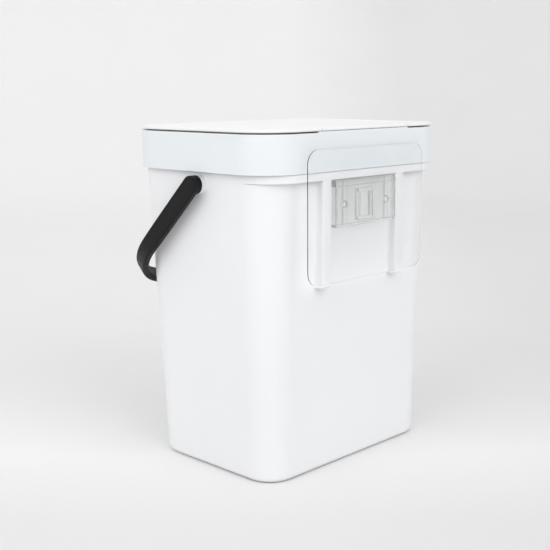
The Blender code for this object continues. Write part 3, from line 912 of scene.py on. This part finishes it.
class CADDY_OT_handle(Operator):
    """Builds the bail handle: a bent strap with round hubs and snap pegs"""

    bl_idname = "caddy.handle"
    bl_label = "Handle"

    def execute(self, context):
        sizes = context.scene.caddy_handle
        finishes = context.scene.caddy_finishes
        arm_half, edge = sizes.arm_width / 2, sizes.strap_edge
        rings = []
        for far, near in zip(bail_line(sizes, 0.0), bail_line(sizes, sizes.strap_thick)):
            across = (near - far).normalized()
            part = (-far.y - sizes.narrow_from) / (sizes.narrow_to - sizes.narrow_from)
            half = arm_half + (sizes.strap_width / 2 - arm_half) * eased(min(max(part, 0.0), 1.0))
            ring = []
            for centre_out, centre_up, start in (
                (edge, half - edge, 180),
                (sizes.strap_thick - edge, half - edge, 90),
                (sizes.strap_thick - edge, edge - half, 0),
                (edge, edge - half, 270),
            ):
                for step in range(5):
                    turn = math.radians(start - 90 * step / 4)
                    out = centre_out + edge * math.cos(turn)
                    up = centre_up + edge * math.sin(turn)
                    ring.append(far + across * out + Vector((0, 0, up)))
            rings.append(ring)
        handle = loft("bail_handle", rings)
        outside_x = sizes.inner + sizes.strap_thick
        bucket = context.scene.caddy_bucket
        head_x = bucket_shape(bucket, PIVOT.z)[0] - bucket.wall - sizes.head_gap
        radius, step = sizes.hub_radius, sizes.hub_step
        hub = [(sizes.hub_inner + rise, radius - inward) for inward, rise in quarter(sizes.hub_edge, 4)]
        hub += [(sizes.inner + step, radius), (sizes.inner + 2 * step, arm_half)]
        hub += [(outside_x - rise, arm_half - inward) for inward, rise in reversed(quarter(edge, 5))]
        peg = [(sizes.hub_inner + SINK, sizes.peg_radius), (head_x, sizes.peg_radius)]
        peg += [(head_x, sizes.head_radius), (head_x - sizes.head_edge, sizes.head_radius)]
        peg.append((head_x - sizes.head_length, sizes.peg_radius))
        adds = []
        for name, side in SIDES:
            adds.append(turned(f"hub_{name}", sided(hub, side), sides=64))
            adds.append(turned(f"peg_{name}", sided(peg, side)))
        combine(handle, adds, "UNION")
        handle.data.transform(Matrix.Translation(PIVOT) @ Matrix.Rotation(sizes.tilt, 4, "X"))
        grain = (finishes.handle_grain, finishes.handle_depth, finishes.handle_marks, finishes.handle_shine)
        gloss = finishes.handle_satin
        paint = moulded_plastic("handle polypropylene", finishes.handle, gloss, finishes.wear, *grain)
        finish_piece(handle, paint, "bail", "handle")
        return {"FINISHED"}


def bail_line(sizes, reach):
    """The bail's line from eye to eye, seen from above, at a depth of reach inside its outer face."""
    half = sizes.inner + sizes.strap_thick - reach
    front = -(sizes.reach + sizes.strap_thick / 2 - reach)
    radius = sizes.elbow - reach
    points = [(half, -stop) for stop in ARM_STOPS]
    points += [(half - rise, front + inward) for inward, rise in quarter(radius, sizes.elbow_steps)]
    points.append((half - radius - BAR_STOP, front))
    points += [(-x, y) for x, y in reversed(points)]
    return [Vector((x, y, 0)) for x, y in points]


class CADDY_OT_wall_bracket(Operator):
    """Builds the clear wall bracket with its window, screw bosses, lip and tongue"""

    bl_idname = "caddy.wall_bracket"
    bl_label = "Wall bracket"

    def execute(self, context):
        sizes = context.scene.caddy_bracket
        finishes = context.scene.caddy_finishes
        half, back, edge = BRACKET[1].x - sizes.narrow, BRACKET[1].y, sizes.edge
        panel_front, panel_back = back - sizes.plate, back - sizes.relief
        foot, top = BRACKET[0].z + sizes.lift, sizes.top
        bottom, shoulder = foot + sizes.lip, top - sizes.shoulder
        window, tongue = sizes.window_half + sizes.window_frame, sizes.tongue_half
        spans = []
        for name, low_x, high_x in both_sides(half - sizes.side, half):
            high = (high_x, back - 3 * HAIR, top - 3 * HAIR)
            spans.append((f"side_{name}", (low_x, sizes.front, bottom), high))
        low = (5 * HAIR - half, BRACKET[0].y, foot)
        spans.append(("lip", low, (half - 5 * HAIR, back - 5 * HAIR, bottom + sizes.side)))
        low = (-tongue, sizes.tongue_front + 3 * HAIR, shoulder)
        spans.append(("shoulder", low, (tongue, panel_back - sizes.shoulder_step, top - 5 * HAIR)))
        low = (3 * HAIR - tongue, sizes.tongue_front, shoulder + sizes.tongue_root)
        spans.append(("tongue", low, (tongue - 3 * HAIR, sizes.tongue_back, BRACKET[1].z)))
        low = (-window, sizes.front + 4 * HAIR, sizes.window_bottom - sizes.window_frame)
        high = (window, back - 4 * HAIR, sizes.window_top + sizes.window_frame)
        spans.append(("window_frame", low, high))
        strip = (sizes.screw_x - sizes.strip_half, sizes.screw_x + sizes.strip_half)
        for name, low_x, high_x in both_sides(*strip):
            low = (low_x, panel_front - sizes.strip_front, bottom + SINK)
            spans.append((f"strip_{name}", low, (high_x, panel_back + sizes.strip_back, top - SINK)))
        bracket = soft_box("bracket_body", (-half, panel_front, bottom), (half, panel_back, top), edge)
        adds = [soft_box(name, low, high, edge) for name, low, high in spans]
        low = (-sizes.window_half, BRACKET[0].y - CUT_OVER, sizes.window_bottom)
        cuts = [soft_box("window", low, (sizes.window_half, back + CUT_OVER, sizes.window_top))]
        face, sink = sizes.front + sizes.screw_sink, sizes.countersink
        boss = [(face + rise, sizes.screw_boss - inward) for inward, rise in quarter(edge, 3)]
        boss.append((back - 20 * HAIR, sizes.screw_boss))
        hole = [(face - CUT_OVER, sizes.screw_radius + sink), (face, sizes.screw_radius + sink)]
        hole += [(face + sink, sizes.screw_radius), (back + CUT_OVER, sizes.screw_radius)]
        for name, side in SIDES:
            centre = (side * sizes.screw_x, 0, sizes.screw_z)
            adds.append(turned(f"screw_boss_{name}", boss, "Y", centre=centre))
            cuts.append(turned(f"screw_hole_{name}", hole, "Y", centre=centre))
        combine(bracket, adds, "UNION")
        combine(bracket, cuts, "DIFFERENCE")
        gloss, haze = finishes.bracket_satin, finishes.bracket_haze
        paint = clear_plastic("bracket clear plastic", finishes.bracket, gloss, finishes.wear, haze)
        finish_piece(bracket, paint, "hanger", "wall_bracket")
        return {"FINISHED"}


class CADDY_OT_adhesive_plate(Operator):
    """Builds the clear adhesive plate and the pad between it and the bracket"""

    bl_idname = "caddy.adhesive_plate"
    bl_label = "Plate and pad"

    def execute(self, context):
        sizes = context.scene.caddy_bracket
        finishes = context.scene.caddy_finishes
        wear = finishes.wear
        sheet = clear_plastic("plate clear sheet", finishes.plate, 0.02, wear, 0.0, finishes.plate_ior)
        adhesive = clear_plastic("pad clear adhesive", finishes.pad, 0.03, wear, 0.0, finishes.pad_ior)
        plate_corner, plate_edge = sizes.plate_radius, sizes.plate_edge
        for name, (low, high), corner, edge, paint, slot, cad_node in (
            ("clear_plate", PLATE, plate_corner, plate_edge, sheet, "plate_clear", "adhesive_plate"),
            ("clear_pad", PAD, sizes.pad_radius, sizes.pad_edge, adhesive, "pad_clear", "bracket_pad"),
        ):
            shape = (high.x, low.z, high.z, corner)
            levels = [(inward, low.y + rise) for inward, rise in quarter(edge, 3)]
            levels += [(inward, high.y - rise) for inward, rise in reversed(quarter(edge, 3))]
            rings = []
            for inward, y in levels:
                flat = outline(*inset(shape, inward), 0, 20)
                rings.append([Vector((point.x, y, point.y)) for point in flat])
            finish_piece(loft(name, rings), paint, "hanger", cad_node)
        return {"FINISHED"}


OPERATORS = (
    CADDY_OT_stage,
    CADDY_OT_bucket,
    CADDY_OT_lid_frame,
    CADDY_OT_lid,
    CADDY_OT_hinge_pins,
    CADDY_OT_handle,
    CADDY_OT_wall_bracket,
    CADDY_OT_adhesive_plate,
)


class CADDY_PT_panel(Panel):
    """Lists the caddy's pieces and their sizes"""

    bl_idname = "CADDY_PT_panel"
    bl_label = "Kitchen caddy"
    bl_space_type = "VIEW_3D"
    bl_region_type = "UI"
    bl_category = "Caddy"

    def draw(self, context):
        for operator in OPERATORS:
            self.layout.operator(operator.bl_idname)
        for group in GROUPS:
            column = self.layout.box().column()
            values = getattr(context.scene, group)
            for key in values.bl_rna.properties.keys():
                if key not in ("rna_type", "name"):
                    column.prop(values, key)


def register():
    for kind in (*GROUPS.values(), *OPERATORS, CADDY_PT_panel):
        bpy.utils.register_class(kind)
    for name, group in GROUPS.items():
        setattr(bpy.types.Scene, name, PointerProperty(type=group))


def unregister():
    for name in GROUPS:
        delattr(bpy.types.Scene, name)
    for kind in reversed((*GROUPS.values(), *OPERATORS, CADDY_PT_panel)):
        bpy.utils.unregister_class(kind)


def main():
    register()
    for operator in OPERATORS:
        getattr(bpy.ops.caddy, operator.bl_idname.removeprefix("caddy."))()


if __name__ == "__main__":
    main()
